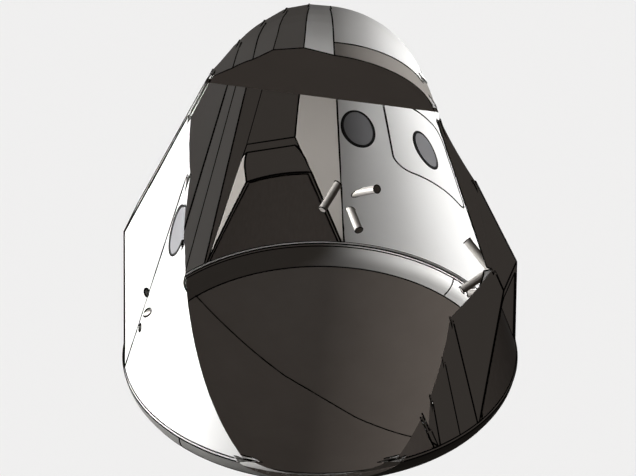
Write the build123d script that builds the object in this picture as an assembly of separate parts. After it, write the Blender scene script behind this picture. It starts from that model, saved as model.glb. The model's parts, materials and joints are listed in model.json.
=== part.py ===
from build123d import *
import os
from math import cos, radians, sin, sqrt, tan

# Crew capsule, millimetres, +Z up, origin under the middle of the heat shield.
# The hatches are on +X and -X, the paired abort engine pods on +Y and -Y.
# A rise is a height above the top of the heat shield's rim.

# Hull
BASE_RADIUS = 2000.0
WALL_ANGLE = 15.7
WALL = 30.0
DISH_RADIUS = 4500.0
RIM_FILLET = 220.0
FLAT_RADIUS = 500.0
SHIELD = 60.0
RIM_BAND = 170.0
RING_HEIGHT = 30.0
RING_WIDTH = 80.0

# Forward deck, tilted about Y: high on -X, low on +X
DECK_RISE = 3046.0
DECK_SLOPE = 0.16
DECK = 30.0
NOSE_GAP = 6.0

# Nose cone
KNEE_RISE = 3260.0
NOSE_WALL = 30.0
SKIRT_RISE = 3100.0

# Abort engine pods, angles from the middle of a pod
POD_HALF = 22.3
FACE_HALF = 7.5
FOOT_HALF = 21.6
SHOULDER_RISE = 1350.0
SHOULDER_PROUD = 354.5
FACE_SLOPE = 0.443

# Exhaust scoop under a pod, with a lip left around it
LIP = 42.0
LIP_RISE = 1240.0
CEILING_RISE = 1110.0
SCOOP_CORNER = 120.0

# Hatch outline, angles from the hatch's own middle line
HATCH_TURN = -4.5
HATCH_HALF = 20.5
HATCH_LOW = 1380.0
HATCH_HIGH = 2450.0
HATCH_CORNER = 190.0
HATCH_GAP = 12.0

# Windows: pane and frame
FRAME = 26.0
PANE = 16.0
PANE_SINK = 6.0

# Hatch hinges
HINGE_TURN = 0.35
PIN = 9.0
PIN_FIT = 0.06
BARREL = 20.0
PIN_LIFT = 24.0
KNUCKLE = 56.0
KNUCKLE_GAP = 5.0
LEAF = 92.0
LEAF_GAP = 6.0
WEB = 16.0

# Nose hinge
NOSE_PIN = 18.0
NOSE_BARREL = 40.0
NOSE_PIN_OUT = 62.0
NOSE_KNUCKLE = 90.0
NOSE_ARM = 85.0
NOSE_ARM_ROOT = 70.0
NOSE_ARM_GAP = 6.0

# Thrusters
TUBE = 42.0
TUBE_BORE = 34.0
BORE_DEPTH = 170.0

# name, azimuth of its middle, azimuth of the wall on its hatch side
PODS = [
    ("back_right", 60.0, 0.0),
    ("back_left", 120.0, 180.0),
    ("front_left", -120.0, -180.0),
    ("front_right", -60.0, 0.0),
]

# name, azimuth of its middle, which way round its window and hinges lie
WALLS = [
    ("right", 0.0, 1),
    ("left", 180.0, -1),
]

# turn from the wall's middle, rise, half width, half height
SIDE_WINDOW = (29.5, 1830.0, 178.0, 288.0)
HATCH_WINDOW = (-3.0, 1870.0, 170.0, 260.0)

# rises of a hatch's two hinges
HINGE_RISES = [1665.0, 2170.0]

# where the tube crosses the cone: turn from the pod's edge toward the hatch, rise; then the way
# from there to the inner end: toward the hatch, inward, up; then the length of that stretch
THRUSTERS = [
    (-1.0, 917.0, -0.32, 0.75, -0.29, 363.0),
    (4.4, 790.0, 0.67, 0.50, 0.56, 400.0),
    (2.2, 560.0, 0.40, 0.80, -0.20, 330.0),
]

# pods' ridges on the nose: angle up from the middle of its ball, how far the ridge's face stands out there
# and how far its two edges do
RIDGES = [
    (23.3, 42.0, 4.0),
    (32.0, 33.0, 4.0),
    (41.0, 26.0, 4.0),
    (50.0, 20.0, 4.0),
    (59.0, 14.0, 4.0),
    (68.0, -25.0, -25.0),
]

# Sizes of the tools that cut: past everything, and a little past a face
BEYOND = 3 * BASE_RADIUS
OVERCUT = 10.0

SLOPE = tan(radians(WALL_ANGLE))
LEAN = cos(radians(WALL_ANGLE))
DISH_DROP = DISH_RADIUS - sqrt(DISH_RADIUS**2 - FLAT_RADIUS**2)
DISH_CENTRE = DISH_RADIUS - DISH_DROP
RIM_CENTRE = sqrt((DISH_RADIUS - RIM_FILLET) ** 2 - (BASE_RADIUS - RIM_FILLET) ** 2)
RIM_Z = DISH_CENTRE - RIM_CENTRE
RING_TOP = RIM_Z + RING_HEIGHT
DECK_Z = RIM_Z + DECK_RISE
WALL_HALF = 60.0 - POD_HALF
TOP_Z = DECK_Z + DECK_SLOPE * BASE_RADIUS
NOSE_LOW = DECK_Z - DECK_SLOPE * BASE_RADIUS


def skin(z):
    return BASE_RADIUS - SLOPE * (z - RIM_Z)


SHOULDER_REACH = skin(RIM_Z + SHOULDER_RISE) + SHOULDER_PROUD


def polar(radius, azimuth, z=0.0):
    return (radius * cos(radians(azimuth)), radius * sin(radians(azimuth)), z)


def flat(points):
    return Face(Wire.make_polygon([Vector(*p) for p in points], close=True))


def one(shape):
    return max(shape.solids(), key=lambda solid: solid.volume)


def save(name, *solids):
    whole = solids[0] if len(solids) == 1 else Compound(children=list(solids))
    export_step(whole, "parts/" + name + ".step")


def cone(inset, low, high):
    shrink = inset / LEAN
    ends = [(0, low), (skin(low) - shrink, low), (skin(high) - shrink, high), (0, high)]
    return revolve(flat([(x, 0, z) for x, z in ends]), axis=Axis.Z)


def sector(first, last, low, high):
    middle = (first + last) / 2
    points = [(0, 0, low), polar(BEYOND, first, low), polar(2 * BEYOND, middle, low), polar(BEYOND, last, low)]
    return extrude(flat(points), amount=high - low, dir=(0, 0, 1))


def wall_sector(first, last):
    return sector(first, last, RING_TOP - OVERCUT, TOP_Z + OVERCUT)


DECK_FRAME = Plane(
    origin=(0, 0, DECK_Z),
    x_dir=Vector(1, 0, -DECK_SLOPE).normalized(),
    z_dir=Vector(DECK_SLOPE, 0, 1).normalized(),
)


def above(lift):
    block = Box(2 * BEYOND, 2 * BEYOND, BEYOND, align=(Align.CENTER, Align.CENTER, Align.MIN))
    return DECK_FRAME.offset(lift) * block


def below(lift):
    block = Box(2 * BEYOND, 2 * BEYOND, BEYOND, align=(Align.CENTER, Align.CENTER, Align.MAX))
    return DECK_FRAME.offset(lift) * block


# Frame on the cone: x along the base circle, y up the cone, z outward
def local(azimuth, rise):
    spot = polar(skin(RIM_Z + rise), azimuth, RIM_Z + rise)
    across = polar(1, azimuth + 90)
    outward = Vector(LEAN * cos(radians(azimuth)), LEAN * sin(radians(azimuth)), SLOPE * LEAN)
    return Plane(origin=spot, x_dir=across, z_dir=outward)


os.makedirs("parts", exist_ok=True)
OUTER = cone(0, RING_TOP, TOP_Z)
INNER = cone(WALL, RING_TOP - OVERCUT, TOP_Z + OVERCUT)
SKIN = OUTER - INNER
UNDER_DECK = below(-DECK)


# Heat shield: dish with a flat crown, rim rolled up to the base radius
def dish_solid(inset):
    small = RIM_FILLET - inset
    big = DISH_RADIUS - inset
    turn = (BASE_RADIUS - RIM_FILLET) / (DISH_RADIUS - RIM_FILLET)
    half = (turn + 1) / 2
    flat_edge = Vector(sqrt(big**2 - (DISH_CENTRE - inset) ** 2), 0, inset)
    meet = Vector(big * turn, 0, DISH_CENTRE - big * sqrt(1 - turn**2))
    mid = (flat_edge.X + meet.X) / 2
    dish_mid = Vector(mid, 0, DISH_CENTRE - sqrt(big**2 - mid**2))
    bulge = Vector(BASE_RADIUS - RIM_FILLET + small * half, 0, RIM_Z - small * sqrt(1 - half**2))
    top = Vector(BASE_RADIUS - inset, 0, RIM_Z)
    edges = [
        Edge.make_line(Vector(0, 0, inset), flat_edge),
        Edge.make_three_point_arc(flat_edge, dish_mid, meet),
        Edge.make_three_point_arc(meet, bulge, top),
        Edge.make_line(top, Vector(0, 0, RIM_Z)),
        Edge.make_line(Vector(0, 0, RIM_Z), Vector(0, 0, inset)),
    ]
    return revolve(Face(Wire(edges)), axis=Axis.Z)


shield = dish_solid(0) - dish_solid(SHIELD)
rim_cut = Pos(0, 0, RIM_Z - RIM_BAND) * Cylinder(BEYOND, BEYOND, align=(Align.CENTER, Align.CENTER, Align.MIN))
save("heat_shield_rim", one(shield & rim_cut))
save("heat_shield_dish", one(shield - rim_cut))

# Aft ring between the heat shield and the side walls
ring_hole = Pos(0, 0, RIM_Z) * Cylinder(BASE_RADIUS - RING_WIDTH, 4 * RING_HEIGHT)
save("aft_ring", one(cone(0, RIM_Z, RING_TOP) - ring_hole))


# Pod outer shape: a wedge from the axis out to a face and two cheeks.
# Below the shoulder the face widens into fins that run out at the base.
def wedge_section(azimuth, z, reach, root, half):
    corner = reach / cos(radians(half))
    spots = [(root, -POD_HALF), (corner, -half), (corner, half), (root, POD_HALF)]
    return flat([(0, 0, z)] + [polar(r, azimuth + a, z) for r, a in spots])


def pod_reach(rise):
    return SHOULDER_REACH - FACE_SLOPE * (rise - SHOULDER_RISE)


def pod_wedge(azimuth, inset):
    shrink = inset / LEAN
    rows = [
        (RING_TOP, skin(RING_TOP) * cos(radians(FOOT_HALF)), FOOT_HALF),
        (RIM_Z + SHOULDER_RISE, SHOULDER_REACH, FACE_HALF),
        (TOP_Z, pod_reach(TOP_Z - RIM_Z), FACE_HALF),
    ]
    faces = [wedge_section(azimuth, z, reach - shrink, skin(z) - shrink, half) for z, reach, half in rows]
    return loft(faces, ruled=True)


# Exhaust scoop: a trapezium seen from outside, round at its top corners, under a sloping ceiling
def scoop(azimuth, grow):
    shoulder_half = SHOULDER_REACH * tan(radians(FACE_HALF))
    foot_half = BASE_RADIUS * sin(radians(FOOT_HALF))
    flare = (foot_half - shoulder_half) / SHOULDER_RISE
    foot = foot_half - LIP + grow
    top = shoulder_half + flare * (SHOULDER_RISE - LIP_RISE) - LIP + grow
    high = LIP_RISE + grow
    outline = Polygon((-foot, 0), (foot, 0), (top, high), (-top, high), align=None)
    outline = fillet(outline.vertices().sort_by(Axis.Y)[-2:], SCOOP_CORNER + grow)
    front = Plane(origin=(0, 0, RIM_Z), x_dir=polar(1, azimuth + 90), z_dir=polar(1, azimuth))
    opening = extrude(front * outline, amount=BEYOND, dir=polar(1, azimuth))
    pitch = (LIP_RISE - CEILING_RISE) / (SHOULDER_REACH - skin(RIM_Z + CEILING_RISE))
    inner = high - pitch * SHOULDER_REACH
    outer = high + pitch * (BEYOND - SHOULDER_REACH)
    side = Plane(origin=(0, 0, RIM_Z), x_dir=polar(1, azimuth), z_dir=polar(1, azimuth - 90))
    profile = Polygon((0, -OVERCUT), (BEYOND, -OVERCUT), (BEYOND, outer), (0, inner), align=None)
    return opening & extrude(side * profile, amount=BASE_RADIUS, both=True)


# Pods and the scoop walls behind them
bored = {}
hulls = {}
for name, azimuth, hatch_side in PODS:
    slot = wall_sector(azimuth - POD_HALF, azimuth + POD_HALF)
    cut = scoop(azimuth, 0)
    proud = pod_wedge(azimuth, 0) - cut
    outside = proud + (OUTER & slot)
    inside = (pod_wedge(azimuth, WALL) - scoop(azimuth, WALL)) + (INNER & slot)
    shell = (outside - inside) & UNDER_DECK
    hulls[name] = proud + OUTER
    bored["pod_" + name] = one(shell - cut)
    save("scoop_wall_" + name, one(shell & cut))

# Side walls, each with a hatch opening and a side window opening
MID_RISE = (HATCH_LOW + HATCH_HIGH) / 2
pane_layer = cone(PANE_SINK, RING_TOP, TOP_Z) - cone(PANE_SINK + PANE, RING_TOP - OVERCUT, TOP_Z + OVERCUT)


def through(frame, outline):
    depth = BASE_RADIUS / 4
    return extrude(frame.offset(-depth) * outline, amount=2 * depth)


def hatch_prism(frame, gap):
    tall = (HATCH_HIGH - HATCH_LOW) / 2 / LEAN - gap
    low = skin(RIM_Z + HATCH_LOW) * sin(radians(HATCH_HALF)) - gap
    high = skin(RIM_Z + HATCH_HIGH) * sin(radians(HATCH_HALF)) - gap
    outline = Polygon((-low, -tall), (low, -tall), (high, tall), (-high, tall), align=None)
    return through(frame, fillet(outline.vertices(), HATCH_CORNER - gap))


def glaze(name, zone, frame, half_width, half_height):
    full = through(frame, Ellipse(half_width, half_height))
    clear = through(frame, Ellipse(half_width - FRAME, half_height - FRAME))
    save(name + "_frame", one((SKIN & zone & full) - clear))
    save(name + "_pane", one(pane_layer & zone & clear))
    return full


# One hinge half: a leaf on the cone, webs and knuckles round the pin's axis
def hinge_half(frame, way, steps):
    pitch = KNUCKLE + KNUCKLE_GAP
    start = BARREL + LEAF_GAP
    half = frame * Pos(way * (start + LEAF / 2), 0, -LEAF / 2) * Box(LEAF, 3 * pitch - KNUCKLE_GAP, LEAF)
    for step in steps:
        half = half + frame * Pos(0, step * pitch, 0) * Rot(90, 0, 0) * Cylinder(BARREL, KNUCKLE)
        bridge = start + WEB
        half = half + frame * Pos(way * bridge / 2, step * pitch, -WEB / 2) * Box(bridge, KNUCKLE, WEB)
    return half


for name, azimuth, mirror in WALLS:
    zone = wall_sector(azimuth - WALL_HALF, azimuth + WALL_HALF)
    panel = SKIN & zone & UNDER_DECK
    middle = local(azimuth + mirror * HATCH_TURN, MID_RISE)
    wall = panel - hatch_prism(middle, 0)
    door = panel & hatch_prism(middle, HATCH_GAP)
    turn, rise, wide, tall = SIDE_WINDOW
    wall = wall - glaze("side_window_" + name, zone, local(azimuth + mirror * turn, rise), wide, tall)
    turn, rise, wide, tall = HATCH_WINDOW
    door = door - glaze("hatch_window_" + name, zone, local(azimuth + mirror * turn, rise), wide, tall)
    bored["side_wall_" + name] = one(wall)
    save("hatch_" + name, one(door))

    fixed = []
    moving = []
    edge = azimuth + mirror * (HATCH_TURN - HATCH_HALF - HINGE_TURN)
    for rise in HINGE_RISES:
        frame = local(edge, rise).offset(PIN_LIFT)
        pin = frame * Rot(90, 0, 0) * Cylinder(PIN, 3 * KNUCKLE + 2 * KNUCKLE_GAP)
        pin_hole = frame * Rot(90, 0, 0) * Cylinder(PIN + PIN_FIT, 2 * KNUCKLE)
        fixed.append(one(hinge_half(frame, -mirror, (-1, 1)) + pin - OUTER))
        moving.append(one(hinge_half(frame, mirror, (0,)) - pin_hole - OUTER))
    save("hatch_hinge_" + name, *fixed)
    save("hatch_strap_" + name, *moving)

# Thrusters: tubes set slantwise through the pod's cheek and the wall beside it
for name, azimuth, hatch_side in PODS:
    way_round = 1 if hatch_side > azimuth else -1
    edge = azimuth + way_round * POD_HALF
    wall = "side_wall_" + name.split("_")[1]
    tubes = []
    for turn, rise, toward, inward, up, length in THRUSTERS:
        place = edge + way_round * turn
        crossing = Vector(*polar(skin(RIM_Z + rise), place, RIM_Z + rise))
        hatchward = Vector(*polar(1, place + 90 * way_round))
        way = (hatchward * toward - Vector(*polar(1, place)) * inward + Vector(0, 0, up)).normalized()
        start = Plane(origin=crossing - way * length, z_dir=way)
        rod = start * Cylinder(TUBE, 2 * length, align=(Align.CENTER, Align.CENTER, Align.MIN))
        bore = start * Cylinder(TUBE_BORE, length + BORE_DEPTH, align=(Align.CENTER, Align.CENTER, Align.MIN))
        tubes.append(one((rod & hulls[name]) - bore))
        for host in ("pod_" + name, wall):
            bored[host] = one(bored[host] - rod)
    save("thrusters_" + name, *tubes)

for name, solid in bored.items():
    save(name, solid)

# Spine strips between the paired pods, one each side of the mirror plane
for name, azimuth, hatch_side in PODS:
    middle = 90.0 if azimuth > 0 else -90.0
    pod_edge = azimuth + POD_HALF if middle > azimuth else azimuth - POD_HALF
    strip = wall_sector(min(pod_edge, middle), max(pod_edge, middle))
    save("spine_" + name, one(SKIN & strip & UNDER_DECK))

# Forward deck, as wide as the hull
whole = OUTER
for name, azimuth, hatch_side in PODS:
    whole = whole + pod_wedge(azimuth, 0)
save("forward_deck", one((whole & below(0)) - UNDER_DECK))

# Nose cone: the hull's cone up to the knee, then a ball-shaped crown, with the pods' ridges
KNEE_Z = RIM_Z + KNEE_RISE
CROWN = skin(KNEE_Z) / LEAN
CROWN_Z = KNEE_Z - CROWN * sin(radians(WALL_ANGLE))


def nose_solid(inset):
    shrink = inset / LEAN
    ball = CROWN - inset
    mid_turn = radians((WALL_ANGLE + 90) / 2)
    low = Vector(skin(NOSE_LOW) - shrink, 0, NOSE_LOW)
    knee = Vector(ball * LEAN, 0, CROWN_Z + ball * sin(radians(WALL_ANGLE)))
    bulge = Vector(ball * cos(mid_turn), 0, CROWN_Z + ball * sin(mid_turn))
    tip = Vector(0, 0, CROWN_Z + ball)
    edges = [
        Edge.make_line(Vector(0, 0, NOSE_LOW), low),
        Edge.make_line(low, knee),
        Edge.make_three_point_arc(knee, bulge, tip),
        Edge.make_line(tip, Vector(0, 0, NOSE_LOW)),
    ]
    body = revolve(Face(Wire(edges)), axis=Axis.Z)
    rows = [(z, pod_reach(z - RIM_Z) - shrink, skin(z) - shrink) for z in (NOSE_LOW, knee.Z)]
    for angle, face_proud, edge_proud in RIDGES:
        z = CROWN_Z + ball * sin(radians(angle))
        around = ball * cos(radians(angle))
        rows.append((z, around + face_proud, around + edge_proud))
    for name, azimuth, hatch_side in PODS:
        faces = [wedge_section(azimuth, z, reach, root, FACE_HALF) for z, reach, root in rows]
        body = body + loft(faces, ruled=True)
    return body


NOSE = nose_solid(0)
shell = (NOSE - nose_solid(NOSE_WALL)) & above(NOSE_GAP)
skirt_zone = sector(-WALL_HALF, WALL_HALF, NOSE_LOW - OVERCUT, RIM_Z + SKIRT_RISE)
save("nose_skirt", one(shell & skirt_zone))
save("nose_cone", one(shell - skirt_zone))

# Nose hinge on -X, at the level of the gap
DECK_EDGE = skin(DECK_Z) / (1 + SLOPE * DECK_SLOPE)
HINGE_X = -DECK_EDGE - NOSE_PIN_OUT
HINGE_Z = DECK_Z - DECK_SLOPE * HINGE_X + NOSE_GAP / 2
hinge = Plane(origin=(HINGE_X, 0, HINGE_Z), x_dir=DECK_FRAME.x_dir, z_dir=DECK_FRAME.z_dir)
knuckle = Rot(90, 0, 0) * Cylinder(NOSE_BARREL, NOSE_KNUCKLE)
arm = Box(NOSE_PIN_OUT + NOSE_ARM_ROOT, NOSE_KNUCKLE, NOSE_ARM, align=(Align.MIN, Align.CENTER, Align.MIN))
fixed = hinge * Rot(90, 0, 0) * Cylinder(NOSE_PIN, 3 * NOSE_KNUCKLE + 2 * KNUCKLE_GAP)
for step in (-1, 1):
    spot = hinge * Pos(0, step * (NOSE_KNUCKLE + KNUCKLE_GAP), 0)
    fixed = fixed + spot * knuckle + spot * Pos(0, 0, -NOSE_ARM_GAP - NOSE_ARM) * arm
save("nose_hinge", one(fixed - OUTER))
moving = hinge * knuckle + hinge * Pos(0, 0, NOSE_ARM_GAP) * arm
moving = moving - hinge * Rot(90, 0, 0) * Cylinder(NOSE_PIN + PIN_FIT, 2 * NOSE_KNUCKLE)
save("nose_strap", one(moving - NOSE))
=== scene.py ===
import bpy
import json
from math import cos, radians, sin, sqrt
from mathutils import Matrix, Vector


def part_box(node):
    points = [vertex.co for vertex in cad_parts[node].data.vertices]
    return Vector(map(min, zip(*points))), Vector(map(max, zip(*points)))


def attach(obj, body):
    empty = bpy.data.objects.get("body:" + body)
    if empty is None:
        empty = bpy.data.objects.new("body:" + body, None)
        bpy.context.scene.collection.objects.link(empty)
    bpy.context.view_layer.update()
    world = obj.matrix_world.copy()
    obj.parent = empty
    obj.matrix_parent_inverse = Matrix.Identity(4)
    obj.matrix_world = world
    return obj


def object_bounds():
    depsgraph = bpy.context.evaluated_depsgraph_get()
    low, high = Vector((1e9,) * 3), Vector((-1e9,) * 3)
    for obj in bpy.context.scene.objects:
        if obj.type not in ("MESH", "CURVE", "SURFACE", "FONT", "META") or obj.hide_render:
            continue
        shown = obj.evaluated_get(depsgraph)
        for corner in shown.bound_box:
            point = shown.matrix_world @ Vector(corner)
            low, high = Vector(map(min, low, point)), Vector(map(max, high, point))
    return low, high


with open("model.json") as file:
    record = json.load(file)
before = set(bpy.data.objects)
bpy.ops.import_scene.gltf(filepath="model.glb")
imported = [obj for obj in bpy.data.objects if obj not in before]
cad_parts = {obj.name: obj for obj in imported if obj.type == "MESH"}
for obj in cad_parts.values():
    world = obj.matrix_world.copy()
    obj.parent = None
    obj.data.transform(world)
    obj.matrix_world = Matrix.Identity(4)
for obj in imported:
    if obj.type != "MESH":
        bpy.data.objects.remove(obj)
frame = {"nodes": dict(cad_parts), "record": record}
cad_low, cad_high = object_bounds()
nodes = frame["nodes"]
bodies = frame["record"]["behaviour"]["bodies"]
scene = bpy.context.scene

# Camera. An isometric view from above, so far off that lines stay parallel. Its near plane lies inside the
# capsule, as in the photograph, so the nearest part of the hull is cut away and the far wall shows.
AZIMUTH = radians(-45)
ELEVATION = radians(35.26)
DISTANCE = 110.0
VIEW_WIDTH = 6.457
NEAR_CUT = 1.489
FAR_CUT = 550.0
LIFT = 1.189
SHIFT = -0.020
SENSOR = 36.0
RIM_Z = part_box("heat_shield_rim")[1].z

flat_way = Vector((sin(AZIMUTH), -cos(AZIMUTH), 0))
up = Vector((0, 0, 1))
toward_camera = flat_way * cos(ELEVATION) + up * sin(ELEVATION)
to_right = Vector((cos(AZIMUTH), sin(AZIMUTH), 0))
target = up * RIM_Z + toward_camera.cross(to_right) * LIFT + to_right * SHIFT
bpy.ops.object.camera_add(location=target + toward_camera * DISTANCE)
camera = bpy.context.object
camera.name = "photo_camera"
camera.rotation_euler = toward_camera.to_track_quat("Z", "Y").to_euler()
camera.data.sensor_width = SENSOR
camera.data.lens = SENSOR * DISTANCE / VIEW_WIDTH
camera.data.clip_start = DISTANCE - NEAR_CUT
camera.data.clip_end = FAR_CUT
scene.camera = camera
scene.view_settings.view_transform = "Standard"


# Floor. A sheet of pale matt paper that runs out past the view, lit by a soft light of its own from above.
# It throws no light back on the capsule.
def colour(code):
    parts = [int(code[place:place + 2], 16) / 255 for place in (0, 2, 4)]
    return [c / 12.92 if c <= 0.04045 else ((c + 0.055) / 1.055) ** 2.4 for c in parts] + [1.0]


# Settings and links go by the name of the socket, or by its number where two sockets share a name.
def add(tree, kind, settings, links=()):
    made = tree.nodes.new(kind)
    for name, value in settings.items():
        if isinstance(name, str) and name not in made.inputs:
            setattr(made, name, value)
        else:
            made.inputs[name].default_value = value
    for name, socket in dict(links).items():
        tree.links.new(socket, made.inputs[name])
    return made


def finish(name, settings):
    material = bpy.data.materials.new(name)
    material.use_nodes = True
    tree = material.node_tree
    tree.nodes.clear()
    surface = add(tree, "ShaderNodeBsdfPrincipled", settings)
    add(tree, "ShaderNodeOutputMaterial", {}, {"Surface": surface.outputs["BSDF"]})
    place = add(tree, "ShaderNodeTexCoord", {}).outputs["Object"]
    return material, tree, surface, place


def lit_directly(piece):
    piece.visible_diffuse = False
    piece.visible_glossy = False
    piece.visible_shadow = False


FLOOR_SIZE = 600.0
PALE_GREY = colour("F0F0F0")
bpy.ops.object.select_all(action="DESELECT")
bpy.ops.mesh.primitive_plane_add(size=FLOOR_SIZE, location=up * cad_low.z)
floor = bpy.context.object
floor.name = "floor"
paper = finish("matt_paper", {"Base Color": PALE_GREY, "Roughness": 0.9, "Specular IOR Level": 0.0})[0]
floor.data.materials.append(paper)
lit_directly(floor)

# Lights. Lamps that cast no shadows, each for the pieces in its row only. The keys stand level on the left, so
# the inside of the right wall is as bright as the outside of the left one. What faces the camera from the near
# right gets no key, and a light from behind shows the far side to anyone who walks around.
KEY_TURN = 0.079
BACK_TURN = 0.5
FILL_TURN = 0.3
DISH_KEY_RISE = 0.012
BACK_RISE = 0.06
TUBE_RISE = 0.6
LIGHT_DISTANCE = 20.0
KEY = (-to_right - flat_way * KEY_TURN).normalized()
DISH_KEY = (KEY + up * DISH_KEY_RISE).normalized()
BACK_LEFT = (-to_right - flat_way * BACK_TURN).normalized()
UPPER_LEFT = (up * TUBE_RISE - to_right).normalized()
FROM_RIGHT = (to_right + flat_way * FILL_TURN).normalized()
BEHIND = (up * BACK_RISE - flat_way).normalized()
FLOOR_ONLY = ["floor"]
DISH = ["heat_shield_dish"]
RIM = ["heat_shield_rim"]
DARK_FLOORS = DISH + ["forward_deck"]
NEAR_RIGHT = ["pod_front_right", "scoop_wall_front_right", "spine_front_right", "spine_front_left"]
WARM = ["pod_back_right", "nose_skirt"]
RIGHT_WALL = ["side_wall_right", "hatch_right", "nose_cone"]
SCOOPS = [name for name in nodes if name.startswith("scoop_wall")]
TUBES = [name for name in nodes if name.startswith("thrusters")]
WHITE = [name for name in nodes if name not in WARM + NEAR_RIGHT + RIGHT_WALL + DISH + RIM + SCOOPS]
HULL = [name for name in nodes if name not in DARK_FLOORS + RIM]
LEFT_INSIDE = [name for name in nodes if name.endswith("back_left")] + ["spine_back_right", "nose_cone"]
LIGHTS = [
    # name, way to the light, strength, colour, spread in degrees, the only things lit
    ("key_from_left", KEY, 5.5, "FFFFFF", 12, WHITE),
    ("warm_key_from_left", KEY, 1.85, "FFF8F1", 12, WARM),
    ("right_wall_key", -to_right, 3.26, "FFFFFF", 12, RIGHT_WALL),
    ("right_wall_back_light", BACK_LEFT, 3.75, "FFFFFF", 12, RIGHT_WALL),
    ("left_wall_key", KEY, 1.7, "FFFFFF", 12, ["side_wall_left"]),
    ("rim_key_from_left", KEY, 9.0, "FFFFFF", 12, RIM),
    ("dish_key_from_left", DISH_KEY, 6.0, "FFFBF8", 1, DISH),
    ("window_light", KEY, 5.0, "FFFFFF", 12, ["side_window_left_pane"]),
    ("fill_from_right", FROM_RIGHT, 0.17, "FFFFFF", 20, LEFT_INSIDE),
    ("tube_light", UPPER_LEFT, 3.0, "FFFFFF", 12, TUBES),
    ("scoop_light", toward_camera, 2.5, "FFF8F0", 20, SCOOPS),
    ("light_from_behind", BEHIND, 2.0, "FFFFFF", 20, HULL),
    ("floor_light", up, 3.02, "FFFFFF", 130, FLOOR_ONLY),
    ("deck_light", up, 0.75, "FFFCFA", 20, DARK_FLOORS),
]

for name, way, strength, tint, spread, lit in LIGHTS:
    bpy.ops.object.light_add(type="SUN", location=target + way * LIGHT_DISTANCE)
    light = bpy.context.object
    light.name = name
    light.rotation_euler = way.to_track_quat("Z", "Y").to_euler()
    light.data.energy = strength
    light.data.color = colour(tint)[:3]
    light.data.angle = radians(spread)
    light.data.use_shadow = False
    receivers = bpy.data.collections.new(name + "_lights")
    for member in lit:
        receivers.objects.link(floor if member == "floor" else nodes[member])
    light.light_linking.receiver_collection = receivers

# The studio around it gives a dim warm glow, and past the floor's edge the camera sees the floor's own grey.
# The light tree is off, because with lamps that are for a few pieces each it leaves coloured noise.
AMBIENT = 0.038
world = bpy.data.worlds.new("studio")
world.use_nodes = True
sky = world.node_tree
sky.nodes.clear()
ray = add(sky, "ShaderNodeLightPath", {})
dim = add(sky, "ShaderNodeBackground", {"Color": colour("FFF0E4"), "Strength": AMBIENT})
pale = add(sky, "ShaderNodeBackground", {"Color": PALE_GREY, "Strength": 1.0})
kinds_of_ray = {0: ray.outputs["Is Camera Ray"], 1: dim.outputs["Background"], 2: pale.outputs["Background"]}
seen = add(sky, "ShaderNodeMixShader", {}, kinds_of_ray)
add(sky, "ShaderNodeOutputWorld", {}, {"Surface": seen.outputs["Shader"]})
scene.world = world
scene.cycles.use_light_tree = False


# Heat shield. A dish of charred ablative composite, moulded in two halves, with a rolled rim bonded on top.
# Black sealant fills the joint between dish and rim and the seam between the halves.
def cover(material, names):
    for name in names:
        node = nodes[name]
        node.data.materials.clear()
        node.data.materials.append(material)
        lit_directly(node)


# The scale of a pattern whose marks are as wide as this in millimetres.
def scale(millimetres):
    return 1000 / millimetres


# Polysulphide sealant, troweled into the joints: black, dull, with a slightly uneven skin.
BLACK = colour("060606")
sealant, tree, surface, place = finish("black_sealant", {"Base Color": BLACK, "Specular IOR Level": 0.2})
lumps = add(tree, "ShaderNodeTexNoise", {"Scale": scale(20), "Detail": 3.0}, {"Vector": place})
dull = add(tree, "ShaderNodeMapRange", {"To Min": 0.5, "To Max": 0.75}, {"Value": lumps.outputs["Fac"]})
tree.links.new(dull.outputs["Result"], surface.inputs["Roughness"])
skin = add(tree, "ShaderNodeBump", {"Strength": 0.3, "Distance": 0.001}, {"Height": lumps.outputs["Fac"]})
tree.links.new(skin.outputs["Normal"], surface.inputs["Normal"])

CORNER = 14
MERGE_GAP = 0.0002
BEAD_ROUNDING = 1


# A bead lies along each edge where a panel turns by more than the corner's degrees. A seam lies where a plane
# through the axis cuts the panel, up to a height.
def beads(member, radius, corner=CORNER, seam=None, top=cad_high.z):
    body = next(name for name, members in bodies.items() if member in members)
    bpy.ops.object.select_all(action="DESELECT")
    bpy.ops.mesh.primitive_plane_add()
    piece = bpy.context.object
    piece.name = ("seam_" if seam else "bead_") + member
    piece.data = nodes[member].data.copy()
    bpy.ops.object.mode_set(mode="EDIT")
    bpy.ops.mesh.select_mode(type="EDGE")
    bpy.ops.mesh.select_all(action="SELECT")
    bpy.ops.mesh.remove_doubles(threshold=MERGE_GAP)
    if seam:
        bpy.ops.mesh.select_all(action="SELECT")
        bpy.ops.mesh.bisect(plane_co=(0, 0, 0), plane_no=seam)
    else:
        bpy.ops.mesh.select_all(action="DESELECT")
        bpy.ops.mesh.edges_select_sharp(sharpness=radians(corner))
    bpy.ops.mesh.mark_seam(clear=False)
    bpy.ops.mesh.select_all(action="SELECT")
    bpy.ops.mesh.delete(type="ONLY_FACE")
    bpy.ops.mesh.select_all(action="DESELECT")
    bpy.ops.object.mode_set(mode="OBJECT")
    for edge in piece.data.edges:
        lower_end = min(piece.data.vertices[end].co.z for end in edge.vertices)
        edge.select = not edge.use_seam or lower_end > top
    bpy.ops.object.mode_set(mode="EDIT")
    bpy.ops.mesh.delete(type="EDGE")
    bpy.ops.object.mode_set(mode="OBJECT")
    bpy.ops.object.convert(target="CURVE")
    piece = bpy.context.object
    piece.data.bevel_depth = radius
    piece.data.bevel_resolution = BEAD_ROUNDING
    bpy.ops.object.convert(target="MESH")
    piece = bpy.context.object
    piece.data.materials.clear()
    piece.data.materials.append(sealant)
    lit_directly(piece)
    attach(piece, body)


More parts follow.
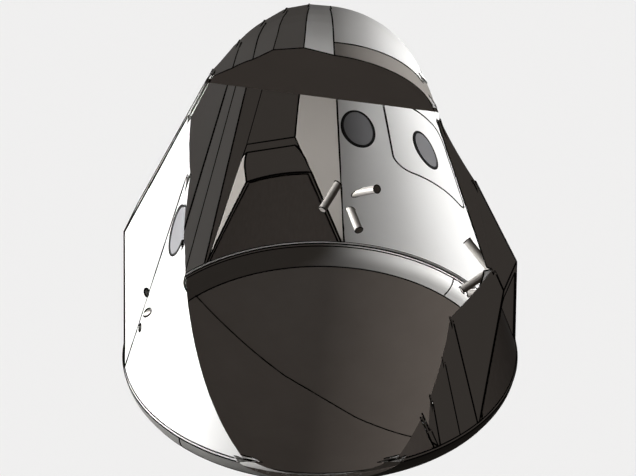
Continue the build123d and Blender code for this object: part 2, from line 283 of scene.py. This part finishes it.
# Ablative composite after firing: dark warm grey, mottled in patches of a third of a metre, with fine pits.
ablator, tree, surface, place = finish("charred_ablator", {"Roughness": 0.65, "Specular IOR Level": 0.25})
patches = {"Scale": scale(350), "Detail": 7.0, "Roughness": 0.6}
mottle = add(tree, "ShaderNodeTexNoise", patches, {"Vector": place})
char = add(tree, "ShaderNodeMixRGB", {"Color1": colour("58524D"), "Color2": colour("645E59")})
tree.links.new(mottle.outputs["Fac"], char.inputs["Fac"])
tree.links.new(char.outputs["Color"], surface.inputs["Base Color"])
pits = add(tree, "ShaderNodeTexNoise", {"Scale": scale(30), "Detail": 4.0}, {"Vector": place})
rough = add(tree, "ShaderNodeBump", {"Strength": 0.12, "Distance": 0.003}, {"Height": pits.outputs["Fac"]})
# Inside, the flat crown is shaded as the rest of the ball is, as if filler feathered out its edge. A point
# lies inside where it is nearer to the ball's centre than the middle of the shell.
BALL_RADIUS = 4.5
CROWN_RADIUS = 0.5
SHELL_MIDDLE = 4.456
centre = (0, 0, cad_low.z + sqrt(BALL_RADIUS ** 2 - CROWN_RADIUS ** 2))
inward = add(tree, "ShaderNodeVectorMath", {"operation": "SUBTRACT", 0: centre}, {1: place})
span = add(tree, "ShaderNodeVectorMath", {"operation": "LENGTH"}, {0: inward.outputs["Vector"]})
inside = add(tree, "ShaderNodeMath", {"operation": "LESS_THAN", 1: SHELL_MIDDLE}, {0: span.outputs["Value"]})
to_world = {"vector_type": "NORMAL", "convert_from": "OBJECT", "convert_to": "WORLD"}
filled = add(tree, "ShaderNodeVectorTransform", to_world, {"Vector": inward.outputs["Vector"]})
moulded = add(tree, "ShaderNodeNewGeometry", {})
slope = add(tree, "ShaderNodeMixRGB", {}, {"Fac": inside.outputs["Value"]})
tree.links.new(moulded.outputs["Normal"], slope.inputs["Color1"])
tree.links.new(filled.outputs["Vector"], slope.inputs["Color2"])
tree.links.new(slope.outputs["Color"], rough.inputs["Normal"])
tree.links.new(rough.outputs["Normal"], surface.inputs["Normal"])
ablator.cycles.use_bump_map_correction = False
cover(ablator, DISH)

# The rim's inner face is light grey, and its outer face a darker grey, which is painted shade on the outside
# of the rim. The two are told apart by how far a point lies from the ring on which the rim's rolled edge is
# centred.
RIM_RING = 1.78
RIM_MIDDLE = 0.19
rim_finish, tree, surface, place = finish("primed_composite", {"Roughness": 0.5, "IOR": 1.5})
spot = add(tree, "ShaderNodeSeparateXYZ", {}, {"Vector": place})
level = add(tree, "ShaderNodeCombineXYZ", {}, {"X": spot.outputs["X"], "Y": spot.outputs["Y"]})
around = add(tree, "ShaderNodeVectorMath", {"operation": "LENGTH"}, {0: level.outputs["Vector"]})
beyond = add(tree, "ShaderNodeMath", {"operation": "SUBTRACT", 1: RIM_RING}, {0: around.outputs["Value"]})
rise = add(tree, "ShaderNodeMath", {"operation": "SUBTRACT", 1: RIM_Z}, {0: spot.outputs["Z"]})
turned = add(tree, "ShaderNodeCombineXYZ", {}, {"X": beyond.outputs["Value"], "Y": rise.outputs["Value"]})
depth = add(tree, "ShaderNodeVectorMath", {"operation": "LENGTH"}, {0: turned.outputs["Vector"]})
past_middle = {"operation": "GREATER_THAN", 1: RIM_MIDDLE}
outside = add(tree, "ShaderNodeMath", past_middle, {0: depth.outputs["Value"]})
cloud = add(tree, "ShaderNodeTexNoise", {"Scale": scale(250), "Detail": 6.0}, {"Vector": place})
# The outer face's darker grey is painted shade.
rim_outer_painted_shade = add(tree, "ShaderNodeMixRGB", {"Color1": colour("5D5D5B"), "Color2": colour("686764")})
tree.links.new(cloud.outputs["Fac"], rim_outer_painted_shade.inputs["Fac"])
rim_inner_grey = add(tree, "ShaderNodeMixRGB", {"Color1": colour("C4C3C1"), "Color2": colour("BBBAB7")})
tree.links.new(cloud.outputs["Fac"], rim_inner_grey.inputs["Fac"])
both = add(tree, "ShaderNodeMixRGB", {}, {"Fac": outside.outputs["Value"]})
tree.links.new(rim_inner_grey.outputs["Color"], both.inputs["Color1"])
tree.links.new(rim_outer_painted_shade.outputs["Color"], both.inputs["Color2"])
tree.links.new(both.outputs["Color"], surface.inputs["Base Color"])
weave = add(tree, "ShaderNodeTexNoise", {"Scale": scale(20), "Detail": 3.0}, {"Vector": place})
cloth = add(tree, "ShaderNodeBump", {"Strength": 0.06, "Distance": 0.002}, {"Height": weave.outputs["Fac"]})
tree.links.new(cloth.outputs["Normal"], surface.inputs["Normal"])
cover(rim_finish, RIM)

LINE = 0.0078
ACROSS_X = (1, 0, 0)
ACROSS_Y = (0, 1, 0)
for member, seam in (("heat_shield_dish", ACROSS_X), ("heat_shield_rim", ACROSS_Y)):
    beads(member, LINE)
    beads(member, LINE, seam=seam)

# Aft ring. A machined alloy band between heat shield and walls, sprayed with the hull's white paint.
# It is bolted down on the rim, and sealant lies along its edges.
# Two-pack paint on filled panels: nearly white, half gloss, faint clouds a metre wide, fine orange peel.
hull_paint, tree, surface, place = finish(
    "white_two_pack_paint", {"IOR": 1.5, "Coat Weight": 0.15, "Coat Roughness": 0.2}
)
clouds = {"Scale": scale(800), "Detail": 6.0, "Roughness": 0.6}
haze = add(tree, "ShaderNodeTexNoise", clouds, {"Vector": place})
tone = add(tree, "ShaderNodeMixRGB", {"Color1": colour("F4F4F3"), "Color2": colour("EDECEA")})
tree.links.new(haze.outputs["Fac"], tone.inputs["Fac"])
tree.links.new(tone.outputs["Color"], surface.inputs["Base Color"])
shine = add(tree, "ShaderNodeMapRange", {"To Min": 0.32, "To Max": 0.46}, {"Value": haze.outputs["Fac"]})
tree.links.new(shine.outputs["Result"], surface.inputs["Roughness"])
peel = add(tree, "ShaderNodeTexNoise", {"Scale": scale(12), "Detail": 2.0}, {"Vector": place})
ripple = add(tree, "ShaderNodeBump", {"Strength": 0.03, "Distance": 0.001}, {"Height": peel.outputs["Fac"]})
tree.links.new(ripple.outputs["Normal"], surface.inputs["Normal"])
cover(hull_paint, ["aft_ring"])
beads("aft_ring", LINE)

# Side walls and spine strips. Composite panels in the hull's white paint, butted edge to edge on frames
# underneath. The beads around a hatch opening are thinner, so that the door clears them.
NARROW_LINE = 0.0055
for member in [name for name in nodes if name.startswith(("side_wall", "spine"))]:
    cover(hull_paint, [member])
    beads(member, NARROW_LINE if member.startswith("side_wall") else LINE)

# Abort engine pods and the walls of their exhaust scoops. Panels bent over a frame, riveted to the hull along
# their edges and painted with it. The scoop walls are a dark warm grey instead, which is painted shade in the
# scoops.
BOLD_LINE = 0.0105
for member in [name for name in nodes if name.startswith("pod")]:
    cover(hull_paint, [member])
    beads(member, BOLD_LINE)

# Scoop walls: a warm dark grey that is painted shade in the scoops, streaked upright, dull, with upright brush
# marks.
scoop_shade_paint, tree, surface, place = finish("heat_proof_coating", {"IOR": 1.43})
stretch = add(tree, "ShaderNodeMapping", {"Scale": (scale(30), scale(30), scale(600))}, {"Vector": place})
brush = add(tree, "ShaderNodeTexNoise", {"Scale": 1.0, "Detail": 5.0}, {"Vector": stretch.outputs["Vector"]})
warm = add(tree, "ShaderNodeMixRGB", {"Color1": colour("423E3C"), "Color2": colour("3A3634")})
tree.links.new(brush.outputs["Fac"], warm.inputs["Fac"])
tree.links.new(warm.outputs["Color"], surface.inputs["Base Color"])
dull = add(tree, "ShaderNodeMapRange", {"To Min": 0.6, "To Max": 0.8}, {"Value": brush.outputs["Fac"]})
tree.links.new(dull.outputs["Result"], surface.inputs["Roughness"])
marks = add(tree, "ShaderNodeBump", {"Strength": 0.08, "Distance": 0.001}, {"Height": brush.outputs["Fac"]})
tree.links.new(marks.outputs["Normal"], surface.inputs["Normal"])
cover(scoop_shade_paint, SCOOPS)
for member in SCOOPS:
    beads(member, LINE)

# Thrusters. Turned alloy tubes, open at the mouth and closed at the inner end, welded in through the skin.
# Turned aluminium, anodised clear: pale grey with fine tool marks, left a little darker by heat in places.
# The oxide hides most of the metal's mirror.
TUBE_CORNER = 40
alloy, tree, surface, place = finish("turned_aluminium", {"Metallic": 0.35})
tooling = add(tree, "ShaderNodeTexNoise", {"Scale": scale(8), "Detail": 2.0}, {"Vector": place})
metal = add(tree, "ShaderNodeMixRGB", {"Color1": colour("C9C5C0"), "Color2": colour("B4AFA9")})
tree.links.new(tooling.outputs["Fac"], metal.inputs["Fac"])
tree.links.new(metal.outputs["Color"], surface.inputs["Base Color"])
cut = add(tree, "ShaderNodeMapRange", {"To Min": 0.3, "To Max": 0.45}, {"Value": tooling.outputs["Fac"]})
tree.links.new(cut.outputs["Result"], surface.inputs["Roughness"])
cover(alloy, TUBES)
for member in TUBES:
    beads(member, NARROW_LINE, corner=TUBE_CORNER)

# Windows. Panes of tinted glass held in alloy frames, in the side walls and in the hatches. The frames are
# anodised black and set flush in the skin, and each pane sits a few millimetres down in its frame.
# Black anodising: a dark grey oxide layer with a fine satin grain from the etching bath.
anodised, tree, surface, place = finish("black_anodised_aluminium", {"Specular IOR Level": 0.3})
etch = add(tree, "ShaderNodeTexNoise", {"Scale": scale(6), "Detail": 3.0}, {"Vector": place})
oxide = add(tree, "ShaderNodeMixRGB", {"Color1": colour("0B0B0B"), "Color2": colour("151515")})
tree.links.new(etch.outputs["Fac"], oxide.inputs["Fac"])
tree.links.new(oxide.outputs["Color"], surface.inputs["Base Color"])
satin = add(tree, "ShaderNodeMapRange", {"To Min": 0.4, "To Max": 0.55}, {"Value": etch.outputs["Fac"]})
tree.links.new(satin.outputs["Result"], surface.inputs["Roughness"])
cover(anodised, [name for name in nodes if "window" in name and name.endswith("frame")])

# Tinted glass, coated on the inside so that it looks opaque: neutral grey, smooth, with faint clouds of haze.
tinted, tree, surface, place = finish("tinted_glass", {"IOR": 1.52})
film = add(tree, "ShaderNodeTexNoise", {"Scale": scale(300), "Detail": 3.0}, {"Vector": place})
grey = add(tree, "ShaderNodeMixRGB", {"Color1": colour("7B7B7D"), "Color2": colour("838385")})
tree.links.new(film.outputs["Fac"], grey.inputs["Fac"])
tree.links.new(grey.outputs["Color"], surface.inputs["Base Color"])
clean = add(tree, "ShaderNodeMapRange", {"To Min": 0.08, "To Max": 0.16}, {"Value": film.outputs["Fac"]})
tree.links.new(clean.outputs["Result"], surface.inputs["Roughness"])
cover(tinted, [name for name in nodes if name.endswith("pane")])

# Hatches. Doors cut from the same panel as the wall, in the hull's white paint, with a black rubber seal
# along the edge, which is thin enough to pass the wall's own bead.
for side in ("left", "right"):
    cover(hull_paint, ["hatch_" + side])
    beads("hatch_" + side, NARROW_LINE)

# Hinges of the hatches and the nose. Leaves, knuckles and pins of stainless steel, bolted to the panels.
# Brushed stainless: mid grey metal, brushed up and down, so its gloss varies in long streaks.
steel, tree, surface, place = finish("brushed_stainless_steel", {"Metallic": 1.0})
stretch = add(tree, "ShaderNodeMapping", {"Scale": (scale(4), scale(4), scale(120))}, {"Vector": place})
streak = add(tree, "ShaderNodeTexNoise", {"Scale": 1.0, "Detail": 3.0}, {"Vector": stretch.outputs["Vector"]})
worn = add(tree, "ShaderNodeMixRGB", {"Color1": colour("9A9A9B"), "Color2": colour("858587")})
tree.links.new(streak.outputs["Fac"], worn.inputs["Fac"])
tree.links.new(worn.outputs["Color"], surface.inputs["Base Color"])
gloss = add(tree, "ShaderNodeMapRange", {"To Min": 0.32, "To Max": 0.5}, {"Value": streak.outputs["Fac"]})
tree.links.new(gloss.outputs["Result"], surface.inputs["Roughness"])
cover(steel, [name for name in nodes if "hinge" in name or "strap" in name])

# Forward deck. A flat plate that closes the cabin under the nose, screwed to the top edge of the hull.
# Warm dark grey, which is painted shade for the deck under the nose, satin, with grit rolled in for a fine
# tooth.
deck_painted_shade, tree, surface, place = finish("gritted_deck_epoxy", {"IOR": 1.5, "Specular IOR Level": 0.2})
patch = add(tree, "ShaderNodeTexNoise", {"Scale": scale(500), "Detail": 5.0}, {"Vector": place})
brown = add(tree, "ShaderNodeMixRGB", {"Color1": colour("5A544F"), "Color2": colour("625C57")})
tree.links.new(patch.outputs["Fac"], brown.inputs["Fac"])
tree.links.new(brown.outputs["Color"], surface.inputs["Base Color"])
grit = add(tree, "ShaderNodeTexNoise", {"Scale": scale(8), "Detail": 3.0}, {"Vector": place})
tooth = add(tree, "ShaderNodeMapRange", {"To Min": 0.55, "To Max": 0.75}, {"Value": grit.outputs["Fac"]})
tree.links.new(tooth.outputs["Result"], surface.inputs["Roughness"])
stipple = add(tree, "ShaderNodeBump", {"Strength": 0.1, "Distance": 0.001}, {"Height": grit.outputs["Fac"]})
tree.links.new(stipple.outputs["Normal"], surface.inputs["Normal"])
cover(deck_painted_shade, ["forward_deck"])
beads("forward_deck", NARROW_LINE)

# Nose cone and skirt. A composite dome in the hull's paint, with the skirt as a panel of its own over the
# hatch side, which tips back on the hinge. Sealant lies along the ridges and around the skirt.
NOSE_CORNER = 12
RIDGE_EDGES = (37.7, 82.3, 97.7, 142.3)
RIDGE_TOP = 4.48
for member in ("nose_cone", "nose_skirt"):
    cover(hull_paint, [member])
    beads(member, LINE, corner=NOSE_CORNER)
for azimuth in RIDGE_EDGES:
    across = (-sin(radians(azimuth)), cos(radians(azimuth)), 0)
    beads("nose_cone", LINE, seam=across, top=RIDGE_TOP)
